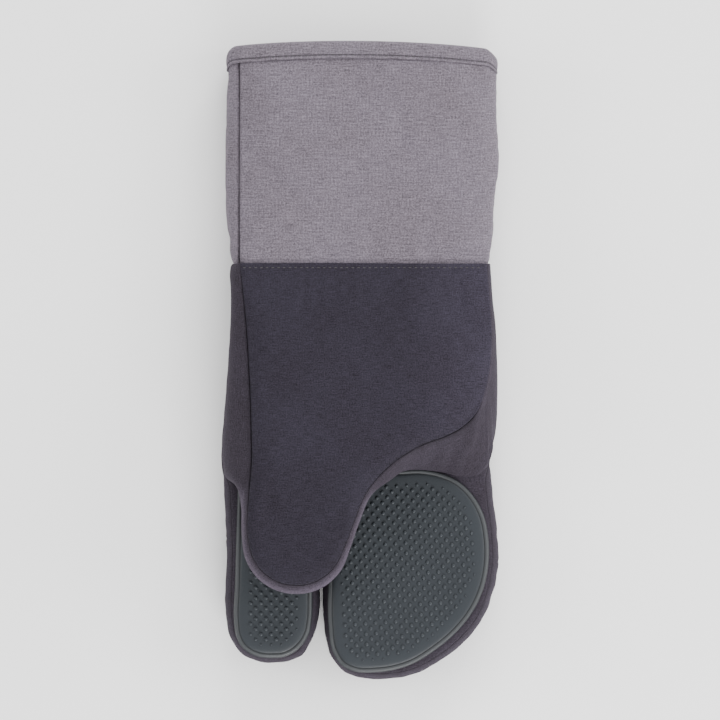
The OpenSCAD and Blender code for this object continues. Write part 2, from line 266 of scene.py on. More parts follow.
def settle(obj):
    """Replaces the mesh by what its modifiers make of it."""
    bpy.context.view_layer.update()
    evaluated = obj.evaluated_get(bpy.context.evaluated_depsgraph_get())
    mesh = bpy.data.meshes.new_from_object(evaluated)
    obj.modifiers.clear()
    obj.data = mesh
    mesh.name = obj.name
    return obj


def thicken(obj, thickness=CLOTH_T, subdivide=1):
    """Gives cloth its thickness on the inner side, then rounds the mesh."""
    solid = obj.modifiers.new("thickness", "SOLIDIFY")
    solid.thickness = thickness * MM
    solid.offset = -1
    solid.use_even_offset = False
    if subdivide:
        fine = obj.modifiers.new("fine", "SUBSURF")
        fine.levels = fine.render_levels = subdivide
        fine.boundary_smooth = "PRESERVE_CORNERS"
    settle(obj)
    obj.data.shade_smooth()
    return obj


SIM_FRAMES = 16
STIFFNESS = 12.0


def puff(obj, pinned, pressure, growth, cap):
    """Cloth simulation: pinned points stay, the rest swells, wrinkles and is held within cap."""
    base = np.array([v.co for v in obj.data.vertices])
    pins = obj.vertex_groups.new(name="pins")
    for i, weight in enumerate(pinned):
        if weight > 0:
            pins.add([i], float(weight), "REPLACE")
    cloth = obj.modifiers.new("cloth", "CLOTH")
    cloth.settings.vertex_group_mass = "pins"
    cloth.settings.quality = 5
    cloth.settings.mass = 0.15
    cloth.settings.tension_stiffness = STIFFNESS
    cloth.settings.compression_stiffness = STIFFNESS
    cloth.settings.shear_stiffness = STIFFNESS / 2
    cloth.settings.bending_stiffness = 1.5
    cloth.settings.use_pressure = True
    cloth.settings.uniform_pressure_force = pressure
    cloth.settings.shrink_min = -growth
    cloth.settings.effector_weights.gravity = 0
    cloth.collision_settings.use_collision = False
    cloth.point_cache.frame_start = 1
    cloth.point_cache.frame_end = SIM_FRAMES
    scene = bpy.context.scene
    for f in range(1, SIM_FRAMES + 1):
        scene.frame_set(f)
    evaluated = obj.evaluated_get(bpy.context.evaluated_depsgraph_get())
    swollen = np.array([v.co for v in evaluated.data.vertices])
    scene.frame_set(1)
    obj.modifiers.clear()
    obj.vertex_groups.clear()
    move = swollen - base
    size = np.linalg.norm(move, axis=1)
    limit = cap * MM
    move *= (limit * np.tanh(size / limit) / np.maximum(size, 1e-9))[:, None]
    for v, p in zip(obj.data.vertices, base + move):
        v.co = p
    obj.data.update()
    return obj


def dome(distance, width):
    """0 at an edge, 1 from width inwards, round in between."""
    q = 1 - np.clip(distance / width, 0, 1)
    return np.sqrt(np.maximum(1 - q * q, 0))


def strip(name, top, middle, bottom, columns, material, values=None):
    """Cloth strip between two edge curves that bulges through a middle curve."""
    control = 2 * middle - (top + bottom) / 2
    t = np.linspace(0, 1, columns)[None, :, None]
    verts = ((1 - t)**2 * top[:, None] + 2 * t * (1 - t) * control[:, None] + t**2 * bottom[:, None])
    reach = np.zeros(verts.shape[:2])
    reach[:, 1:] = np.cumsum(np.linalg.norm(np.diff(verts, axis=1), axis=2), axis=1)
    run = np.broadcast_to(arc_length(top)[:, None], reach.shape)
    return make(name, verts.reshape(-1, 3), grid_faces(len(top), columns, flip=True), material, values,
                stack(run.ravel(), reach.ravel()))


# ---------------------------------------------------------------- materials

def node_material(name):
    material = bpy.data.materials.new(name)
    material.use_nodes = True
    tree = material.node_tree
    shader = tree.nodes["Principled BSDF"]
    return material, tree, shader


def feed(tree, socket, value):
    """Links a socket to another node's output, or sets its number, vector or colour."""
    if isinstance(value, bpy.types.NodeSocket):
        tree.links.new(value, socket)
    else:
        socket.default_value = (*value, 1) if socket.type == "RGBA" else value


def plug(tree, node, **inputs):
    for key, value in inputs.items():
        feed(tree, node.inputs[key.replace("_", " ")], value)
    return node


def add(tree, kind, **inputs):
    return plug(tree, tree.nodes.new(kind), **inputs)


def maths(tree, operation, a, b=0.5):
    node = tree.nodes.new("ShaderNodeMath")
    node.operation = operation
    feed(tree, node.inputs[0], a)
    feed(tree, node.inputs[1], b)
    return node.outputs[0]


def ramp(tree, fac, stops):
    node = add(tree, "ShaderNodeValToRGB", Fac=fac)
    while len(node.color_ramp.elements) < len(stops):
        node.color_ramp.elements.new(0.5)
    for element, (position, colour) in zip(node.color_ramp.elements, stops):
        element.position = position
        element.color = (*colour, 1)
    return node.outputs["Color"]


def mix(tree, fac, a, b, blend="MIX"):
    node = tree.nodes.new("ShaderNodeMix")
    node.data_type = "RGBA"
    node.blend_type = blend
    # Its colour inputs come after those for numbers and vectors
    for place, value in ((0, fac), (6, a), (7, b)):
        feed(tree, node.inputs[place], value)
    return node.outputs[2]


def attribute(tree, name, output="Fac"):
    node = tree.nodes.new("ShaderNodeAttribute")
    node.attribute_name = name
    return node.outputs[output]


def shaded(tree, base):
    """Paints shade into a colour by the mesh's shade attribute, darkening it, or paints light where that is
    below 0, brightening it.
    """
    light = maths(tree, "SUBTRACT", 1.0, attribute(tree, "shade"))
    even = add(tree, "ShaderNodeCombineColor", Red=light, Green=light, Blue=light)
    return mix(tree, 1.0, base, even.outputs[0], "MULTIPLY")


def bumped(tree, height, strength, depth):
    bump = add(tree, "ShaderNodeBump", Height=height, Strength=strength, Distance=depth * MM)
    return bump.outputs[0]


def grey(value):
    return (value, value, value)


def tint(colour, factor):
    return tuple(min(1, c * factor) for c in colour)


def stretched_noise(tree, place, across, along, detail=1.0):
    """Noise drawn out into threads: across and along are its sizes along Y and X, in metres."""
    mapped = add(tree, "ShaderNodeMapping", Vector=place, Scale=(1 / along, 1 / across, 1 / along))
    return add(tree, "ShaderNodeTexNoise", Vector=mapped.outputs[0], Scale=1.0, Detail=detail,
               Roughness=0.5).outputs["Fac"]


def fabric(name, colour, pitch, contrast, bump, slub=0.3, patch=0.12, sheen=0.1, cast=(1, 1, 1),
           order=0.1):
    """Plain weave: warp and weft waves broken by slubs, over a fine grain and slow patches of colour.
    order is the share of the even waves in the weave; the rest is irregular thread."""
    material, tree, shader = node_material(name)
    place = attribute(tree, "cloth", "Vector")
    waves = []
    for direction in ("X", "Y"):
        wave = add(tree, "ShaderNodeTexWave", Vector=place, Scale=math.pi / pitch / 10,
                   Distortion=2.5, Detail=2.0, Detail_Scale=3.0)
        wave.bands_direction = direction
        waves.append(wave.outputs["Fac"])
    crossed = maths(tree, "MULTIPLY", maths(tree, "ADD", *waves), 0.5)
    weft = stretched_noise(tree, place, 0.45 * pitch, 11 * pitch, 2.0)
    warp = stretched_noise(tree, place, 9 * pitch, 0.45 * pitch, 2.0)
    grain = add(tree, "ShaderNodeTexNoise", Vector=place, Scale=0.75 / pitch, Detail=2.0, Roughness=0.6)
    threads = maths(tree, "ADD", maths(tree, "MULTIPLY", weft, 0.35), maths(tree, "MULTIPLY", warp, 0.2))
    threads = maths(tree, "ADD", threads, maths(tree, "MULTIPLY", grain.outputs["Fac"], 0.45))
    weave = maths(tree, "ADD", maths(tree, "MULTIPLY", crossed, order),
                  maths(tree, "MULTIPLY", threads, 1 - order))
    base = ramp(tree, weave, [(0.38, tint(colour, 1 - contrast)), (0.5, colour),
                              (0.62, tint(colour, 1 + contrast))])
    slow = add(tree, "ShaderNodeTexNoise", Vector=place, Scale=26.0, Detail=3.0, Roughness=0.55)
    warmed = tuple(c * k for c, k in zip(colour, cast))
    cloudy = ramp(tree, slow.outputs["Fac"], [(0.35, tint(warmed, 1 - patch)),
                                              (0.65, tint(colour, 1 + patch))])
    base = mix(tree, 0.36, base, cloudy)
    slubs = ramp(tree, stretched_noise(tree, place, 0.7 * pitch, 26 * pitch),
                 [(0.66, grey(0)), (0.74, grey(1))])
    base = mix(tree, maths(tree, "MULTIPLY", slubs, slub), base, tint(colour, 1.7))
    plug(tree, shader, Base_Color=shaded(tree, base), Roughness=0.92, Sheen_Weight=sheen,
         Sheen_Roughness=0.5, Sheen_Tint=tint(colour, 2.5), Specular_IOR_Level=0.15,
         Normal=bumped(tree, weave, bump, 0.5))
    return material


def silicone(name, colour, flange):
    """Moulded silicone: satin, faintly dusty, with a paler flange colour where the flange attribute says,
    which is a painted highlight.
    """
    material, tree, shader = node_material(name)
    place = tree.nodes.new("ShaderNodeTexCoord").outputs["Object"]
    slow = add(tree, "ShaderNodeTexNoise", Vector=place, Scale=45.0, Detail=4.0, Roughness=0.6)
    fine = add(tree, "ShaderNodeTexNoise", Vector=place, Scale=900.0, Detail=3.0, Roughness=0.7)
    edge = attribute(tree, "flange")
    base = mix(tree, slow.outputs["Fac"], tint(colour, 0.88), tint(colour, 1.14))
    base = shaded(tree, mix(tree, edge, base, flange))
    rough = ramp(tree, fine.outputs["Fac"], [(0.3, grey(0.5)), (0.7, grey(0.66))])
    plug(tree, shader, Base_Color=base, Roughness=rough, Specular_IOR_Level=0.4,
         Normal=bumped(tree, fine.outputs["Fac"], 0.15, 0.1))
    return material


def thread(name, colour):
    """Twisted thread: fine slanting bands."""
    material, tree, shader = node_material(name)
    place = tree.nodes.new("ShaderNodeTexCoord").outputs["Object"]
    wave = add(tree, "ShaderNodeTexWave", Vector=place, Scale=1400.0, Distortion=2.0)
    wave.bands_direction = "DIAGONAL"
    base = ramp(tree, wave.outputs["Fac"], [(0.2, tint(colour, 0.75)), (0.8, tint(colour, 1.15))])
    plug(tree, shader, Base_Color=base, Roughness=0.7, Normal=bumped(tree, wave.outputs["Fac"], 0.4, 0.1))
    return material


COARSE = dict(pitch=0.78 * MM, contrast=0.98, bump=0.6, slub=0.4, cast=(1.02, 1.0, 0.95), order=0.18)
CLOSE = dict(pitch=0.6 * MM, contrast=1.0, bump=0.5, slub=0.1, patch=0.22, order=0.05)
CANVAS = fabric("cuff canvas", (0.117, 0.101, 0.123), **COARSE)
HEM = fabric("hem canvas", (0.119, 0.103, 0.125), **COARSE)
DARK = fabric("dark fabric", (0.0190, 0.0163, 0.0245), cast=(1.1, 1.0, 0.98), **CLOSE)
GUSSET = fabric("gusset fabric", (0.0240, 0.0198, 0.0272), sheen=0.4, cast=(1.08, 1.0, 0.98), **CLOSE)
LINING = fabric("cotton lining", (0.10, 0.092, 0.103), 1.1 * MM, 0.2, 0.5)
# The pads' second colour is for their flanges: paler, a painted highlight where light catches their rounded
# rims.
PAD = silicone("grip silicone", (0.0128, 0.0166, 0.0212), (0.032, 0.035, 0.038))
TAN_THREAD = thread("tan thread", (0.030, 0.027, 0.029))
GREY_THREAD = thread("grey thread", (0.05, 0.045, 0.052))


# ---------------------------------------------------------------- the sewn outlines

# Side of the palm and round the index lobe, from the waist to the fork between the finger lobes
INDEX_SIDE = through([
    (-73.4, HAND_END), (-74.8, WAIST - 0.5), (-75.4, WAIST - 3.5), (-74.9, 100), (-75.3, 80),
    (-76.8, 55), (-78.6, 32), (-80.2, 12), (-80.4, 2),
    (-79.6, -8), (-78.9, -16), (-78.2, -34), (-77.5, -52), (-78.1, -70), (-78.3, -82),
    (-77.2, -93.5), (-74.6, -102.3), (-71.2, -107.5), (-66.5, -111.3), (-58.5, -114.5),
    (-50, -115.2), (-41, -114.4), (-34, -111.3), (-28.6, -103), (-25, -93.5), (-23.6, -84),
    (-23.5, -70), (-23.6, -40), (-23.4, -10), (-22.9, 0)])

# From the same fork round the three-finger lobe and up the palm's other side
FINGER_SIDE = through([
    (-22.9, 0), (-22, -10), (-21.7, -40), (-21.6, -70), (-21.5, -84), (-20.9, -93.5),
    (-19.6, -102), (-16.8, -111), (-11, -119.2), (-4, -123), (6, -124.6), (17, -124.6),
    (28.4, -122.9), (37, -119.6), (46.5, -114.2), (54, -108.9), (61.5, -102), (69, -93.2),
    (73.7, -84.7), (76.8, -76), (79, -67), (80.3, -58), (80.5, -49), (79.9, -40), (79.2, -32),
    (77.8, -24), (77.1, -17), (76, -6), (75.5, 2), (77, 11), (78.8, 20), (79.7, 33), (79.5, 50),
    (78.9, 63), (78.2, 80), (76.5, 93), (76, 102), (75.2, WAIST + 0.4)])

LOBE_SEAM_IN = 3.8
LOBE_SEAM_Z = LOBE_TOP - 2.0
# Height of the palm's side seams, on the left and on the right
SIDE_SEAM_Z = (24.0, 21.0)
BACK_SEAM_IN = 6.5
BACK_SEAM_Z = 1.6
LOBE_MID_Z = 12.5


def lower_side(outline, on_lobe, side_z):
    """Top edge, belly and bottom edge of the lower side strip along an outline."""
    n = outward(outline)
    inset = 0.3 + (LOBE_SEAM_IN - 0.3) * on_lobe
    top = stack(outline - n * inset[:, None], side_z + (LOBE_SEAM_Z - side_z) * on_lobe)
    belly = stack(outline - n * (1.0 - on_lobe)[:, None], np.full(len(outline), LOBE_MID_Z))
    bottom = stack(outline - n * BACK_SEAM_IN, np.full(len(outline), BACK_SEAM_Z))
    return top, belly, bottom


index_run = arc_length(INDEX_SIDE)
finger_run = arc_length(FINGER_SIDE)
index_notch = index_run[np.argmax(INDEX_SIDE[:, 1] < 0)]
finger_notch = finger_run[len(FINGER_SIDE) - 1 - np.argmax(FINGER_SIDE[::-1, 1] < 4)]
index_on_lobe = smoothstep((index_run - index_notch) / 14)
finger_on_lobe = smoothstep((finger_notch - finger_run) / 14)
index_top, index_belly, index_bottom = lower_side(INDEX_SIDE, index_on_lobe, SIDE_SEAM_Z[0])
finger_top, finger_belly, finger_bottom = lower_side(FINGER_SIDE, finger_on_lobe, SIDE_SEAM_Z[1])
left_line = index_top[:np.argmax(INDEX_SIDE[:, 1] < -12)]
right_line = finger_top[len(finger_top) - np.argmax(FINGER_SIDE[::-1, 1] < -8):]

# Height of the front's middle, as (y, z)
PLATEAU = through([(WAIST + 6, 33.9), (WAIST, 34.6), (85, 39.5), (50, 46.2), (20, 50.8),
                   (0, THUMB_TOP - 0.4), (-30, THUMB_TOP - 0.6), (-69, THUMB_TOP - 2.0),
                   (-80, THUMB_TOP - 2.4)], 1.0)


def plateau(y):
    order = np.argsort(PLATEAU[:, 0])
    return np.interp(y, PLATEAU[order, 0], PLATEAU[order, 1])


def right_fall(x, y):
    """How far the front falls towards its right edge."""
    return 2.4 * smoothstep((x - 25) / 50) * smoothstep((y + 5) / 30)


# Seam round the front panel, from the waist round the thumb and back to the waist. Each row is
# x, y, how far the side strip bulges past the seam, how far the seam lies below the panel's
# middle, and the strip's far edge: on the palm's side line at that height, under the thumb, or a point.
UNDER = THUMB_BASE + 0.9
FRONT_SEAM = [
    (-69.6, HAND_END, 0.8, 1.0, HAND_END), (-67.9, 102, 1.8, 2.6, 102), (-65.5, 77, 3.5, 4.6, 77),
    (-63.8, 50, 4.6, 5, 50), (-62.6, 17, 5.2, 5, 17), (-62.4, 3, 5.2, 5, (-79.4, -1, 24.5)),
    (-62.9, -4, 5.4, 4.8, (-77.2, -8, 26)), (-63.4, -10, 5.4, 4.6, (-69.5, -12.8, UNDER)),
    (-64.3, -23, 4.4, 4, UNDER), (-64.6, -40, 3.6, 3.6, UNDER),
    (-61.8, -52.3, 4.6, 3.6, UNDER), (-55.1, -61.8, 5.2, 3.6, UNDER), (-45.2, -67.6, 5.4, 3.6, UNDER),
    (-35.4, -68.9, 5.4, 3.6, UNDER), (-24.4, -66.2, 5.2, 3.6, UNDER), (-14.2, -57.7, 4.4, 3.6, UNDER),
    (-8.7, -46.7, 3.4, 3.6, UNDER), (-3.2, -32.2, 3.0, 3.6, UNDER), (4.4, -14.8, 3.4, 3.8, UNDER),
    (12.8, -4.4, 3.0, 4, (17.5, -8, UNDER - 2.5)), (23.2, 4.3, 1.8, 4.4, (25.5, -4, 25.6)),
    (36.5, 11.9, 1.2, 4.6, (37, -4.4, 24.6)), (49.9, 17.1, 1.2, 4.8, (50, -7, 24.2)),
    (59.2, 22.3, 1.4, 4.8, (60, -9.5, 24)), (67.3, 30.4, 1.4, 4.0, (67.6, -8.2, 23.4)),
    (72.4, 43.8, 1.6, 3.4, (75.4, 3.2, 21.6)), (75.4, 60, 1.6, 3.4, 34), (76.2, 76, 1.5, 3.2, 62),
    (75.2, 94, 1.3, 2.8, 88), (73.4, WAIST + 0.4, 1.2, 1.9, WAIST + 0.4)]


def far_edge(x, y, foot):
    if isinstance(foot, tuple):
        return foot
    if foot == UNDER:
        return (x, y, UNDER)
    return tuple(at_y(left_line if x < 0 else right_line, foot))


seam_rows = through([(x, y, bulge, drop, *far_edge(x, y, foot)) for x, y, bulge, drop, foot in FRONT_SEAM])
seam_z = plateau(seam_rows[:, 1]) - seam_rows[:, 3] - right_fall(*seam_rows[:, :2].T)
front_seam = stack(seam_rows[:, :2], seam_z)
front_foot = seam_rows[:, 4:7].copy()
for line, side in ((left_line, seam_rows[:, 0] < 0), (right_line, seam_rows[:, 0] > 0)):
    on_side = side & (front_foot[:, 1] > (2 if line is left_line else 8))
    front_foot[on_side] = [at_y(line, y) for y in front_foot[on_side, 1]]
chord = front_foot - front_seam
along = np.gradient(front_seam, axis=0)
sideways = np.cross(chord, along)
sideways /= np.linalg.norm(sideways, axis=1)[:, None]
flat_out = stack(outward(front_seam), np.zeros(len(front_seam)))
sideways *= np.sign((sideways * flat_out).sum(1))[:, None]
front_belly = (front_seam + front_foot) / 2 + sideways * seam_rows[:, 2:3]


# ---------------------------------------------------------------- palm, thumb and lobes

def front_height(points):
    """Height of the front panel's cloth at plan points."""
    distance, index = nearest_on(points, front_seam, False)
    drop = seam_rows[index, 3]
    width = np.interp(points[:, 1], [-40, 20], [9.0, 15.0])
    z = plateau(points[:, 1]) - drop * (1 - dome(distance, width))
    z -= right_fall(*points.T)
    return z + 0.5 * ripple(*points.T, 33.0, 1.5) * dome(distance, 20.0)


def close_loop(curve, top_points):
    return np.vstack([curve, through(top_points)[1:-1]])


WAIST_STITCH = 2.9


def on_ridge(x, y):
    """1 where the front seam lies along a soft ridge, high on its right side, and 0 elsewhere."""
    return smoothstep((x - 62) / 6) * smoothstep((y - 24) / 12)


def below_waist(y):
    """0 at the waist and 1 where the front seam has become a clear line."""
    return smoothstep((WAIST - y - 1) / 15)


def front_panel():
    edge = front_seam[:, :2]
    loop = close_loop(edge, [edge[-1], (30, WAIST + 0.5), (-20, WAIST + 0.9), edge[0]])
    across = np.linspace(-66, 70, 150)
    rows = [stack(across, 0 * across + WAIST - d) for d in (0.4, 1.2, 2.1, 3.0, 4.2)]
    points, faces, count = fill_loop(loop, 2.3, [inset(front_seam, 0.8), inset(front_seam, 1.8), *rows])
    z = front_height(points)
    z[:len(edge)] = front_seam[:, 2]
    seam_distance, _ = nearest_on(points, front_seam, False)
    waist_edge = HAND_END - points[:, 1]
    z -= 0.5 - 0.5 * dome(np.clip(waist_edge, 0, None), 0.8)
    z -= 0.5 * bell((waist_edge - WAIST_STITCH) / 0.8)
    x, y = points.T
    # Painted shade along the front seam: depth is its strength, greater towards the web, none on the ridge
    # and fading out near the waist.
    depth = 0.25 * (1 + smoothstep((x - 5) / 15)) * (1 - on_ridge(x, y)) * below_waist(y)
    shade = depth * bell(seam_distance / 0.55)
    # Painted light: the panel brightened towards its right side and towards the cuff.
    shade -= 0.36 * smoothstep((x - 15) / 60) * smoothstep((y - 5) / 35)
    # Painted shade: the panel darkened towards the thumb.
    shade += 0.12 * (1 - smoothstep((y + 30) / 50))
    obj = make("front_panel", stack(points, z), faces, DARK, {"shade": shade})
    pinned = np.zeros(len(points))
    pinned[:count] = 1
    pinned = np.maximum(pinned, 1 - smoothstep((waist_edge - 5) / 9))
    puff(obj, pinned, pressure=1.2, growth=0.012, cap=1.6)
    return thicken(obj)


def upper_gusset():
    columns = 15
    t = np.tile(np.linspace(0, 1, columns), len(front_seam))
    s = np.repeat(arc_length(front_seam), columns)
    x, y = np.repeat(seam_rows[:, :2], columns, axis=0).T
    web = smoothstep(np.clip(x - 18, 0, 30) / 30 * (y < 40))
    slant = np.sin((s + 22 * t) / 3.1 + 4.5 * ripple(s, 14 * t, 16.0, 7.0))
    depth = 0.25 + 1.1 * np.abs(ripple(s, 10 * t, 13.0, 2.0))
    pucker = ripple(s, t * 8, 6.5, 4.0) * bell(t * 5)
    lift = (web * depth * slant + 0.5 * pucker) * np.sin(math.pi * t)
    notch = smoothstep((x - 63) / 5) * (1 - smoothstep((y - 44) / 8))
    lift += 1.3 * notch * bell((t - 0.9) / 0.07)
    rim_highlight = 1 - smoothstep((y + 22) / 14)
    # Painted shade along the seam, deeper towards the web and fading out near the waist; where the seam
    # runs on the ridge it turns to painted light.
    shade = 0.2 * bell(t * 16) * (1 - 2.2 * on_ridge(x, y)) * below_waist(y)
    shade *= 1 + smoothstep((x - 5) / 15)
    # Painted highlight along the thumb's rim.
    shade -= 1.2 * rim_highlight * bell((t - 0.3) / 0.17)
    obj = strip("upper_side_gusset", front_seam, front_belly, front_foot, columns, GUSSET, {"shade": shade})
    push(obj, np.repeat(sideways, columns, axis=0), lift)
    return thicken(obj)


def lower_gusset(name, top, belly, bottom, join_y):
    """Side strip of a lobe and its side of the palm, with the join in the strip at join_y."""
    columns = 13
    t = np.tile(np.linspace(0, 1, columns), len(top))
    shade = 0.2 * bell(t * 12)
    obj = strip(name, top, belly, bottom, columns, GUSSET, {"shade": shade})
    s = np.repeat(arc_length(top), columns)
    wrinkle = 0.5 * ripple(s, t * 12, 7.0, 8.0) * np.sin(math.pi * t)
    y = np.repeat(top[:, 1], columns)
    outer = np.repeat(np.abs(top[:, 0]), columns) > 60
    wrinkle -= 0.5 * bell((y - join_y) / 0.7) * outer
    push(obj, np.repeat(stack(outward(belly), np.zeros(len(belly))), columns, axis=0), wrinkle)
    return thicken(obj)


FORK = 8.0


def lobe_surface(points, curve):
    """Height of a lobe's grip side, which rounds down to its seam."""
    distance, index = nearest_on(points, curve, False)
    edge_z = curve[index, 2]
    return edge_z + (LOBE_TOP - edge_z) * dome(distance, 11.0)


def lobe_grip_panel(name, edge):
    loop = edge[:, :2]
    loop = close_loop(loop, [loop[-1], (loop[0] + loop[-1]) / 2, loop[0]])
    points, faces, _ = fill_loop(loop, 3.0, [inset(edge, d) for d in (0.8, 1.8, 3.2)])
    z = lobe_surface(points, edge)
    seam_distance, _ = nearest_on(points, edge, False)
    obj = make(name, stack(points, z), faces, GUSSET,
               {"shade": 0.25 * bell(seam_distance / 0.6)})
    return thicken(obj)


def back_panel(name, seam, spine):
    """Back cloth between a lobe's back seam and the seam up the middle of the hand, flat at the waist."""
    loop = np.vstack([seam[:, :2], straight([seam[-1, :2], *spine, seam[0, :2]])[1:-1]])
    points, faces, _ = fill_loop(loop, 2.6)
    distance = np.minimum(*(nearest_on(points, line, False)[0] for line in (seam, straight(spine))))
    hollows = np.maximum(ripple(*points.T, 24.0, 3.0), 0) * dome(distance, 12.0)
    z = BACK_SEAM_Z * (1 - dome(distance, 5.0)) + 1.2 * hollows
    obj = make(name, stack(points, z), [f[::-1] for f in faces], DARK,
               {"shade": 0.45 * bell(distance / 0.9)})
    return thicken(obj)


def thumb_underside():
    """Grip side of the thumb, down to the fork with the finger lobes."""
    flat = seam_rows[(front_foot[:, 2] > UNDER - 0.01) & (seam_rows[:, 1] < -14)]
    edge = flat[:, :2]
    loop = close_loop(edge, [edge[-1], (14, -6), (20, FORK), (-30, FORK + 0.5), (-72, FORK), (-69, -8),
                             edge[0]])
    points, faces, _ = fill_loop(loop, 3.0)
    distance, _ = nearest_on(points, loop)
    z = UNDER - 0.9 * dome(distance, 5.0)
    obj = make("thumb_grip_panel_cloth", stack(points, z), [f[::-1] for f in faces], DARK,
               {"shade": 0.4 * bell(distance / 0.9)})
    return thicken(obj)


def fork_cloth():
    """Cloth that turns back from the thumb's underside to the finger lobes at the fork."""
    x = np.linspace(-76, 30, 60)
    turn = np.linspace(-math.pi / 2, math.pi / 2, 9)
    mid, radius = (UNDER + LOBE_TOP) / 2, (UNDER - LOBE_TOP) / 2 + 0.4
    verts = [(a, FORK - 1.5 + radius * math.cos(b), mid + radius * math.sin(b)) for a in x for b in turn]
    flat = np.array([(a, radius * b) for a in x for b in turn])
    obj = make("fork_cloth", verts, grid_faces(len(x), len(turn)), GUSSET, cloth=flat)
    return thicken(obj, subdivide=0)


# ---------------------------------------------------------------- grip pads

def inset(curve, amount):
    return curve[:, :2] - outward(curve) * amount


def absorb(obj, verts, faces, values):
    """Adds more closed shells to an object's own mesh."""
    extra = make(obj.name + "_more", verts, faces, obj.data.materials[0], values)
    both = bmesh.new()
    both.from_mesh(obj.data)
    both.from_mesh(extra.data)
    both.to_mesh(obj.data)
    both.free()
    bpy.data.objects.remove(extra)
    obj.data.shade_smooth()
    return obj


def dimple_places(loop, turn, margin):
    """Staggered lattice of dot centres that keep a margin from the pad's edge, with their distances."""
    rows = np.arange(-140, 141, DOT_ROW)
    grid = np.array([(x + (i % 2) * DOT_PITCH / 2, y) for i, y in enumerate(rows)
                     for x in np.arange(-140, 141, DOT_PITCH)])
    c, s = math.cos(math.radians(turn)), math.sin(math.radians(turn))
    grid = grid @ np.array([[c, s], [-s, c]]) + loop.mean(0)
    grid = grid[inside(grid, loop)]
    distance, _ = nearest_on(grid, loop)
    return grid[distance > margin], distance[distance > margin]


DOT_MARGIN = 7.2
DOT_PITCH = 5.9
DOT_ROW = 3.0
DOT_RADIUS = 1.3
DOT_HEIGHT = 0.9
DOT_SIDES = 8
# Painted shade at a dot's foot and a painted highlight at its tip: values for the rings of its mesh from
# the foot up, then the tip
DOT_SHADE = np.repeat([0.5, 0.2, -0.1, -0.3], [DOT_SIDES, DOT_SIDES, DOT_SIDES, 1])
FLANGE = 2.6


def pad_profile(distance):
    """Thickness over the cloth, in from the pad's edge: rounded rim, flange, groove, raised field."""
    knots = [(0, 0.55), (0.25, 1.05), (0.7, 1.3), (1.5, 1.35), (2.1, 1.28), (FLANGE, 0.75), (3.1, 1.15),
             (3.7, 1.32), (5.5, 1.48), (9, PAD_T - 0.56), (60, PAD_T - 0.55)]
    return np.interp(distance, *np.array(knots).T)


def grip_pad(name, knots, cloth, turn, side=1):
    """Moulded pad on a cloth surface; side -1 hangs below it."""
    loop = through(knots + [knots[0]], SEAM_STEP)[:-1]
    if signed_area(np.vstack([loop, loop.mean(0)]), (0, 1, len(loop))) < 0:
        loop = loop[::-1]
    rings = [inset(np.vstack([loop, loop[:1]]), d) for d in (0.35, 0.9, 1.5, 2.1, FLANGE, 3.1, 3.7, 4.8)]
    points, faces, _ = fill_loop(loop, 2.2, rings)
    distance, _ = nearest_on(points, loop)
    z = cloth(points) + side * pad_profile(distance)
    # Painted highlight: where the flange gets the paler silicone colour.
    flange = smoothstep((FLANGE - 0.1 - distance) / 0.3) * smoothstep((distance - 0.1) / 0.4)
    # Painted shade in the groove inside the flange and round the pad's outer foot.
    groove = 0.7 * bell((distance - FLANGE) / 0.32) + 0.5 * smoothstep((0.35 - distance) / 0.3)
    turned = faces if side > 0 else [f[::-1] for f in faces]
    pad = make(name, stack(points, z), turned, PAD, {"flange": flange, "shade": groove})
    thicken(pad, PAD_T - 0.6, 0)
    places, room = dimple_places(loop, turn, DOT_MARGIN)
    size = 0.5 + 0.5 * smoothstep((room - DOT_MARGIN) / 3.5)
    centre_z = cloth(places) + side * pad_profile(room)
    verts, dot_faces = [], []
    for (x, y), z0, k in zip(places, centre_z, size):
        dome_at(verts, dot_faces, (x, y, z0 - side * 0.15), DOT_RADIUS * k, side * (DOT_HEIGHT * k + 0.15))
    return absorb(pad, verts, dot_faces, {"shade": np.tile(DOT_SHADE, len(places))})


def dome_at(verts, faces, centre, radius, height):
    """One closed dot: a ring at its foot, a ring on its shoulder and a tip."""
    base = len(verts)
    x, y, z = centre
    for r, h in ((1.0, 0.0), (0.92, 0.45), (0.6, 0.85)):
        verts += [(x + radius * r * math.cos(a), y + radius * r * math.sin(a), z + height * h)
                  for a in circle(DOT_SIDES)]
    verts.append((x, y, z + height))
    shoulder, top = base + 2 * DOT_SIDES, base + 3 * DOT_SIDES
    tip = [(shoulder + j, shoulder + (j + 1) % DOT_SIDES, top) for j in range(DOT_SIDES)]
    foot = [tuple(base + j for j in reversed(range(DOT_SIDES)))]
    made = tube_faces(base, 3, DOT_SIDES) + tip + foot
    faces += made if height > 0 else [f[::-1] for f in made]


WIDE_PAD = [
    (24, -3), (34.8, -2.6), (45.2, -4.3), (56.3, -9), (65.5, -17.7), (72, -30), (74.4, -43), (74.4, -58),
    (71.6, -71.7), (65, -85.6), (54.5, -98.3), (44, -107), (29, -116), (8.7, -120.3), (-3.2, -119.8),
    (-11, -116), (-16.2, -107.5), (-18.4, -92.5), (-18.6, -71), (-18.4, -40), (-17, -14), (-8, -4), (8, -3)]
INDEX_PAD = [
    (-70.8, -14.8), (-71.9, -50), (-72.4, -68.8), (-73, -90.8), (-71.9, -99), (-69, -105), (-64.4, -109),
    (-57.4, -111.6), (-51, -112), (-44, -111.4), (-38.3, -108.8), (-33, -104), (-29.2, -97), (-28, -90.8),
    (-27.5, -75), (-27.7, -40), (-28.7, -16), (-34, -6), (-50, -3.5), (-65, -6)]
THUMB_PAD = [
    (-60.5, -10), (-61, -40), (-58.5, -50), (-52.5, -58.2), (-44.5, -63.2), (-35.4, -64.6), (-26.5, -62),
    (-18, -54.5), (-12.5, -44.5), (-7.3, -30.5), (-2, -18), (0, -10), (-12, -5), (-30, -4), (-48, -5)]


# ---------------------------------------------------------------- stitches

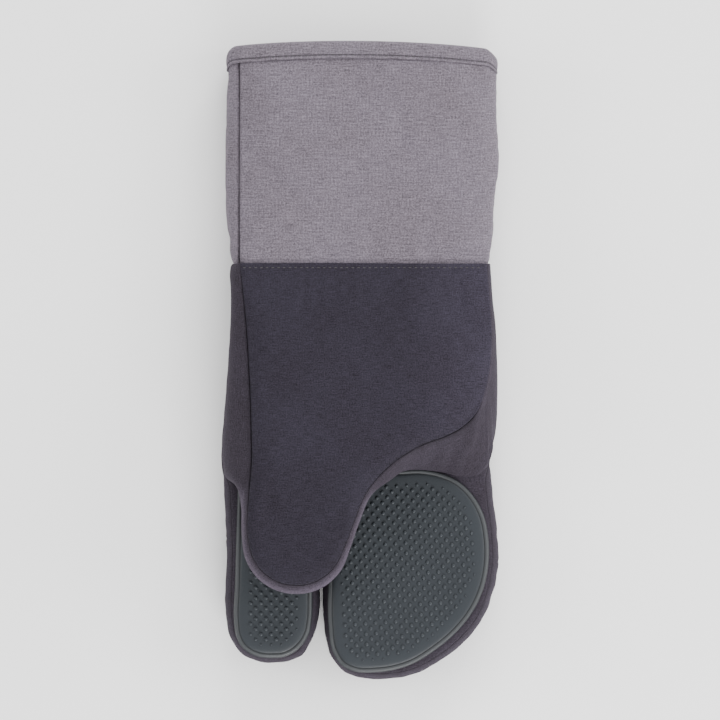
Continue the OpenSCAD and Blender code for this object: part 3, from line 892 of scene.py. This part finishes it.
def stitch_row(name, path, normals, length, pitch, radius, material):
    """Row of short thread stitches along a path, each dipping into the cloth at its ends."""
    run = arc_length(path)
    verts, faces = [], []
    sides, sink = 6, 0.12
    for start in np.arange(0.6, run[-1] - length, pitch):
        s = start + length * np.array([0, 0.12, 0.35, 0.65, 0.88, 1])
        centre, up = at_run(s, run, path), at_run(s, run, normals)
        lift = np.array([-1.3, -0.1, 0.55, 0.55, -0.1, -1.3]) * radius - sink
        size = radius * np.array([0.45, 0.9, 1, 1, 0.9, 0.45])
        along = centre[-1] - centre[0]
        along /= np.linalg.norm(along)
        base = len(verts)
        for c, n, h, r in zip(centre, up, lift, size):
            across = np.cross(along, n)
            for a in circle(sides):
                verts.append(c + n * (h + r * math.sin(a)) + across * (r * math.cos(a)))
        faces += tube_faces(base, len(s), sides)
        ends = range(base, base + sides), range(base + 5 * sides, base + 6 * sides)
        faces += [tuple(reversed(ends[0])), tuple(ends[1])]
    return make(name, verts, faces, material)


def drop_on(points, obj, down):
    """Points and normals where vertical rays from plan points meet a cloth piece."""
    hits, normals = [], []
    for x, y in points:
        start = Vector((x, y + KNUCKLE, 100 * -down)) * MM
        found, place, normal, _ = obj.ray_cast(start, Vector((0, 0, down)))
        if found:
            hits.append(np.array(place) / MM - [0, KNUCKLE, 0])
            normals.append(np.array(normal))
    return np.array(hits), np.array(normals)


# ---------------------------------------------------------------- cuff

CUFF_LEFT = through([(-73.5, WAIST - 3), (-73.9, WAIST), (-75.1, WAIST + 5.6), (-76.2, 132), (-77.3, 160),
                     (-77.4, 190), (-77, 215), (-76.5, 232), (-76.4, MOUTH)], 1.0)
CUFF_RIGHT = through([(74.8, WAIST - 3), (74.9, WAIST), (76.6, 132), (77.8, 150), (79, 163), (80.2, 176),
                      (79.9, 190), (79.4, 205), (79, 232), (78.6, MOUTH)], 1.0)
CUFF_SEAM_X = -70.2
HEM_BAND = 10.3
HEM_STITCH = 8.3
AROUND = 200
# Squareness of the cuff's section at the waist and from half way up
WAIST_SQUARE, CUFF_SQUARE = 6.0, 3.6


def mouth_drop(x):
    """How far the mouth edge lies below its middle: a shallow curve, a round corner and a cut one."""
    left = np.clip(4 - (x + 76.4), 0, 4)
    right = np.clip((x - 73.2) / 5.4, 0, 1)
    return 0.00062 * (x + 8)**2 + (4 - np.sqrt(np.maximum(16 - left**2, 0))) + 3.6 * right**1.5


def cuff_ring(y):
    """Closed ring of (x, z) round the cuff from its seam over the front, then back underneath."""
    left, right = at_y(CUFF_LEFT, y)[0], at_y(CUFF_RIGHT, y)[0]
    half, deep = (right - left) / 2, (PALM_TOP - CUFF_BASE) / 2
    square = WAIST_SQUARE + (CUFF_SQUARE - WAIST_SQUARE) * smoothstep((y - WAIST) / 60)
    angle = circle(2400)
    c, s = np.cos(angle), np.sin(angle)
    x = (left + right) / 2 + half * np.sign(c) * np.abs(c)**(2 / square)
    z = CUFF_BASE + deep + deep * np.sign(s) * np.abs(s)**(2 / square)
    seam = np.argmin(np.abs(x - CUFF_SEAM_X) + np.where(z > CUFF_BASE + deep, 0, 1000))
    ring = stack(np.roll(x, -seam), np.roll(z, -seam))[::-1]
    ring = np.vstack([ring[-1:], ring])
    run = arc_length(ring)
    return at_run(np.linspace(0, run[-1], AROUND, endpoint=False), run, ring)


def cuff_surface(rows):
    """Grid (rows, AROUND, 3) of the cuff's outer face and its outward normals."""
    flat = np.linspace(WAIST - 2.5, MOUTH, rows)
    rings = np.array([cuff_ring(y) for y in flat])
    share = smoothstep((flat - WAIST) / (MOUTH - WAIST) * 1.25 - 0.2)
    y = flat[:, None] - share[:, None] * mouth_drop(rings[..., 0])
    grid = np.stack([rings[..., 0], y, rings[..., 1]], axis=-1)
    step = np.roll(rings, -1, axis=1) - np.roll(rings, 1, axis=1)
    step /= np.linalg.norm(step, axis=-1, keepdims=True)
    normals = np.stack([-step[..., 1], np.zeros_like(y), step[..., 0]], axis=-1)
    return grid, normals


CUFF_ROWS = 70
cuff_grid, cuff_normals = cuff_surface(CUFF_ROWS)
RIGHT_COLUMN = int(np.argmax(cuff_grid[CUFF_ROWS // 2, :, 0]))


def over_front(grid):
    """How far upper cuff points stand above the front panel's waist edge, easing off up the cuff."""
    points = grid.reshape(-1, 3)
    at_waist = stack(np.clip(points[:, 0], -68, 72), np.full(len(points), WAIST))
    over = np.maximum(points[:, 2] - front_height(at_waist) + 1.4, 0) * (points[:, 2] > PALM_TOP / 2)
    return (over * (1 - smoothstep((points[:, 1] - WAIST) / 14))).reshape(grid.shape[:2])


def cuff_cloth(name, columns, seam_left, seam_right, cap):
    """One panel of the cuff: its grid, sunk at its sewn edges, under the hem and at the waist."""
    last = CUFF_ROWS - 3
    grid = cuff_grid[:last, columns].copy()
    normal = cuff_normals[:last, columns]
    width = arc_length(grid[last // 2])
    sink = np.zeros(grid.shape[:2])
    shade = np.zeros(grid.shape[:2])
    for distance, sewn in ((width, seam_left), (width[-1] - width, seam_right)):
        if sewn:
            sink += 0.6 * bell(distance / 0.8)
            shade += 0.4 * bell(distance / 0.6)
    above_waist = grid[..., 1] - WAIST
    flare = 1 - 0.9 * smoothstep((-0.8 - above_waist) / 1.5)
    sink += 0.9 * (1 - smoothstep((above_waist + 0.5) / 3.5)) * flare
    wave = ripple(*grid.reshape(-1, 3)[:, :2].T, 30.0, 5.0 + cap).reshape(sink.shape)
    run = np.arange(last)[:, None] / last
    # Painted shadow in a band at the hem's lower edge, where the hem would shade the cuff.
    shade += 0.55 * bell((run - run[-1] + 0.022) / 0.014)
    grid += normal * (0.35 * wave - sink)[..., None]
    grid[..., 2] -= over_front(grid)
    flat = stack(np.tile(width, last), grid[..., 1].ravel())
    obj = make(name, grid.reshape(-1, 3), grid_faces(last, len(columns), flip=True), CANVAS,
               {"shade": shade.ravel()}, flat)
    pinned = 1 - smoothstep((above_waist - 1) / 7)
    pinned[:, (0, -1)] = 1
    pinned[-3:, :] = 1
    puff(obj, pinned.ravel(), pressure=0.8, growth=0.010, cap=cap)
    return thicken(obj)


def down_from_mouth():
    below = cuff_grid[-6] - cuff_grid[-1]
    return below / np.linalg.norm(below, axis=1)[:, None]


def hem_band():
    """Binding folded over the mouth: proud outside, round over the rim, flat inside."""
    profile = through([
        (-HEM_BAND, -0.4), (-HEM_BAND - 0.05, 0.5), (-9.7, 1.0), (-9.0, 0.9), (-HEM_STITCH, 0.35),
        (-7.6, 0.85), (-6, 1.15), (-3, 1.1), (-1.4, 0.6), (-0.45, -0.4), (0, -2.2), (-0.5, -4.1),
        (-1.7, -5.2), (-4, -5.7), (-8.6, -5.6), (-9.4, -5.2)], 0.35)
    ring = cuff_grid[-1].copy()
    normal = cuff_normals[-1]
    down = down_from_mouth()
    spread = arc_length(np.vstack([ring, ring[:1]]))[:-1]
    buckle = 0.22 * ripple(spread, 0 * spread, 11, 3.3)
    verts = np.array([ring - down * s + normal * (o + buckle[:, None] * (o > 0.2)) for s, o in profile])
    verts = verts.transpose(1, 0, 2)
    # Painted shade in the dip at the stitch line and a painted shadow along the band's lower edge.
    shade = 0.35 * bell((profile[:, 0] + HEM_STITCH) / 0.4) * (profile[:, 1] > 0)
    shade = shade + 0.4 * bell((profile[:, 0] + HEM_BAND + 0.1) / 0.3)
    faces = grid_faces(len(ring), len(profile), closed=True)
    flat = stack(np.repeat(spread, len(profile)), np.tile(arc_length(profile), len(ring)))
    obj = make("cuff_hem_band", verts.reshape(-1, 3), faces, HEM,
               {"shade": np.tile(shade, len(ring))}, flat)
    return thicken(obj, LINING_T, 0)


def hem_stitches():
    path = cuff_grid[-1] + cuff_normals[-1] * 0.62 + down_from_mouth() * HEM_STITCH
    closed = np.vstack([path, path[:1]])
    normals = np.vstack([cuff_normals[-1], cuff_normals[-1][:1]])
    return stitch_row("hem_stitches", closed, normals, length=2.0, pitch=3.85, radius=0.28,
                      material=GREY_THREAD)


# ---------------------------------------------------------------- linings

LINING_SIDES = 48
LINING_IN = 5.4


def lining(name, stations):
    """Lining tube through (y, left, right, floor, roof) stations, round in section."""
    table = through([(0, row[0], *row[1:]) for row in stations], 4.0)
    angle = circle(LINING_SIDES)
    c, s = np.cos(angle), np.sin(angle)
    rings = []
    for _, y, left, right, floor, roof in table:
        x = (left + right) / 2 + (right - left) / 2 * np.sign(c) * np.abs(c)**0.62
        z = (floor + roof) / 2 + (roof - floor) / 2 * np.sign(s) * np.abs(s)**0.62
        rings.append(stack(x, np.full(LINING_SIDES, y), z))
    verts = np.vstack(rings)
    verts[:, 2] += 0.5 * ripple(*verts[:, :2].T, 13.0, 6.0)
    ringed = np.arange(len(verts)).reshape(len(rings), LINING_SIDES)
    beside = np.roll(ringed, -1, axis=1)
    faces = np.stack([ringed[:-1], ringed[1:], beside[1:], beside[:-1]], axis=-1).reshape(-1, 4).tolist()
    around = arc_length(rings[0])
    flat = stack(np.tile(around, len(rings)), verts[:, 1])
    return thicken(make(name, verts, faces, LINING, cloth=flat), LINING_T, 0)


def pocket_lining(name, curve, floor, roof, mouth):
    """Lining of a pocket that follows its outline: two cloths joined round the edge, open at the mouth."""
    edge = curve[curve[:, 1] < mouth]
    edge = inset(edge, LINING_IN)
    loop = close_loop(edge, [edge[-1], (edge[0] + edge[-1]) / 2, edge[0]])
    points, faces, _ = fill_loop(loop, 4.0)
    distance, _ = nearest_on(points, edge, False)
    half = (roof - floor) / 2 * dome(distance, 9.0)
    middle = (roof + floor) / 2
    top = stack(points, middle + half)
    bottom = stack(points, middle - half)
    far = len(points)
    joined = {i: i if distance[i] < 1e-6 else i + far for i in range(far)}
    both = faces + [tuple(joined[i] for i in reversed(f)) for f in faces]
    obj = make(name, np.vstack([top, bottom]), both, LINING)
    tidy = bmesh.new()
    tidy.from_mesh(obj.data)
    bmesh.ops.delete(tidy, geom=[v for v in tidy.verts if not v.link_faces], context="VERTS")
    tidy.to_mesh(obj.data)
    tidy.free()
    return thicken(obj, LINING_T, 0)


# ---------------------------------------------------------------- putting the mitt together

def bend(obj, parent, child, first, last):
    """Bakes obj's transform into its mesh. parent, child, first and last are not used."""
    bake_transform(obj)


def dress(obj, nodes=()):
    if nodes:
        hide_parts(*nodes)
    return obj


THUMB_BEND = (-6, -30)
LOBE_BEND = (2, -26)
CUFF_BEND = (WAIST + 2, WAIST + 42)

front = dress(front_panel(),
              ["palm_front_panel", "thumb_front_panel", "thumb_front_batting"])
upper = dress(upper_gusset(),
              ["outer_side_gusset", "inner_side_gusset", "palm_web", "thumb_gusset", "palm_batting"])
under = dress(thumb_underside(), ["thumb_grip_panel", "thumb_grip_batting"])
thumb_pad = dress(grip_pad("thumb_pad", THUMB_PAD, lambda p: np.full(len(p), UNDER - 0.9), 0, -1),
                  ["thumb_grip_pad"])
thumb_bag = dress(pocket_lining("thumb_lining_cloth", front_seam[front_seam[:, 0] < 20],
                                THUMB_BASE + WALL, THUMB_TOP - 6, FORK), ["thumb_lining"])
for piece in (front, upper, under, thumb_pad, thumb_bag):
    bend(piece, "hand", "thumb", *THUMB_BEND)


def lobe(name, body, outline, edges, join_y, knots, dot_turn, spine, hand_node):
    """One finger pocket: side strip, grip cloth and pad, back cloth, and lining. Returns its back."""
    top, belly, bottom = edges
    side = dress(lower_gusset(name + "_side_gusset", top, belly, bottom, join_y),
                 [name + "_gusset"])
    edge = top[top[:, 1] < FORK]
    palm = dress(lobe_grip_panel(name + "_palm_cloth", edge),
                 [name + "_grip_panel", name + "_grip_batting"])
    pad = dress(grip_pad(name + "_pad", knots, lambda p: lobe_surface(p, edge), dot_turn),
                [name + "_grip_pad"])
    back = dress(back_panel(name + "_back_cloth", bottom, spine),
                 [name + "_back_panel", name + "_back_batting", hand_node])
    bag = dress(pocket_lining(name + "_lining_cloth", outline, WALL + 0.6, LOBE_TOP - WALL, -1),
                [name + "_lining"])
    for piece in (side, palm, pad, back, bag):
        bend(piece, "hand", body, *LOBE_BEND)
    return back


SPINE_X = -22.9
spine = [(SPINE_X, HAND_END), (SPINE_X, 0.3)]
index_back = lobe("index", "index", INDEX_SIDE, (index_top, index_belly, index_bottom),
                  join_y=-43, knots=INDEX_PAD, dot_turn=0, spine=spine[::-1],
                  hand_node="hand_back_panel")
finger_back = lobe("finger", "fingers", FINGER_SIDE, (finger_top, finger_belly, finger_bottom),
                   join_y=-56, knots=WIDE_PAD, dot_turn=4, spine=spine,
                   hand_node="hand_back_batting")

fork = dress(fork_cloth(), ["crotch_panel"])
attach(fork, "hand")

front_columns = np.arange(0, RIGHT_COLUMN + 1)
back_columns = np.append(np.arange(RIGHT_COLUMN, AROUND), 0)
cuff_front = dress(cuff_cloth("cuff_front_cloth", front_columns, True, False, 1.3),
                   ["cuff_front", "cuff_front_batting"])
cuff_back = dress(cuff_cloth("cuff_back_cloth", back_columns, False, True, 1.2),
                  ["cuff_back", "cuff_back_batting"])
hem = dress(hem_band(), ["cuff_hem"])
ticks = dress(hem_stitches(), ["hem_stitching"])

waist_line = stack(np.linspace(-71.5, 71.5, 140), np.full(140, HAND_END - WAIST_STITCH))
left_of, right_of = waist_line[:, 0] < -25, waist_line[:, 0] > -21
for name, line, panel, down, nodes in (
        ("waist_stitches_front", waist_line, front, -1, ["waist_stitching"]),
        ("waist_stitches_back", waist_line[right_of], finger_back, 1, []),
        ("waist_stitches_back_left", waist_line[left_of], index_back, 1, [])):
    row = stitch_row(name, *drop_on(line, panel, down), length=2.0, pitch=3.3, radius=0.27,
                     material=TAN_THREAD)
    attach(dress(row, nodes), "hand")

cuff_bag = dress(lining("cuff_lining_cloth", [
    (MOUTH - 7.5, -70.6, 72.8, CUFF_BASE + 5.6, PALM_TOP - 5.6),
    ((WAIST + MOUTH) / 2, -71.2, 73, CUFF_BASE + 5.4, PALM_TOP - 5.4),
    (WAIST - 4, -68.8, 68.8, 5.6, PALM_TOP - 5)]), ["cuff_lining"])
hand_bag = dress(lining("hand_lining_cloth", [
    (WAIST + 1, -68.8, 68.8, 5.4, PALM_TOP - 5), (60, -70, 70, 5.4, 37),
    (30, -70, 60, 5.4, 38), (10, -70, 28, 5.4, 42)]), ["hand_lining"])
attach(hand_bag, "hand")
for piece in (cuff_front, cuff_back, hem, ticks, cuff_bag):
    bend(piece, "hand", "cuff", *CUFF_BEND)


# ---------------------------------------------------------------- floor, light and camera

def floor():
    material, tree, shader = node_material("pale floor")
    place = tree.nodes.new("ShaderNodeTexCoord").outputs["Object"]
    grain = add(tree, "ShaderNodeTexNoise", Vector=place, Scale=6.0, Detail=2.0)
    base = ramp(tree, grain.outputs["Fac"], [(0.3, grey(0.95)), (0.7, grey(0.97))])
    plug(tree, shader, Base_Color=base, Roughness=0.9)
    half, z = 6000, -0.6
    corners = [(x, y - KNUCKLE, z) for x, y in ((-half, -half), (half, -half), (half, half), (-half, half))]
    make("floor", corners, [(0, 1, 2, 3)], material)


def softbox(name, place, target, size, power):
    lamp = bpy.data.lights.new(name, "AREA")
    lamp.shape = "RECTANGLE"
    lamp.size, lamp.size_y = size
    lamp.energy = power
    obj = bpy.data.objects.new(name, lamp)
    bpy.context.scene.collection.objects.link(obj)
    obj.location = place
    obj.rotation_euler = (Vector(target) - Vector(place)).to_track_quat("-Z", "Y").to_euler()


def studio():
    world = bpy.data.worlds.new("studio")
    world.use_nodes = True
    world.node_tree.nodes["Background"].inputs["Color"].default_value = (1, 1, 1, 1)
    world.node_tree.nodes["Background"].inputs["Strength"].default_value = 1.02
    bpy.context.scene.world = world
    softbox("low_key", (0.4, -1.5, 0.65), (0, 0, 0), (1.0, 0.5), 42)
    softbox("far_side", (0.3, 1.7, 0.8), (0, 0, 0), (1.4, 0.6), 44)
    softbox("right_side", (1.6, 0.1, 0.7), (0, 0, 0), (1.0, 0.6), 22)
    softbox("left_side", (-1.6, 0.1, 0.7), (0, 0, 0), (1.0, 0.6), 15)


def camera():
    lens = bpy.data.cameras.new("camera")
    lens.sensor_width = 36
    lens.lens = 250
    height, middle = 0.4176, 0.020
    distance = height * lens.lens / lens.sensor_width
    eye = bpy.data.objects.new("camera", lens)
    eye.location = (0, 0.0006, middle + distance)
    lens.clip_end = 20
    bpy.context.scene.collection.objects.link(eye)
    bpy.context.scene.camera = eye


floor()
studio()
camera()

bpy.context.view_layer.update()
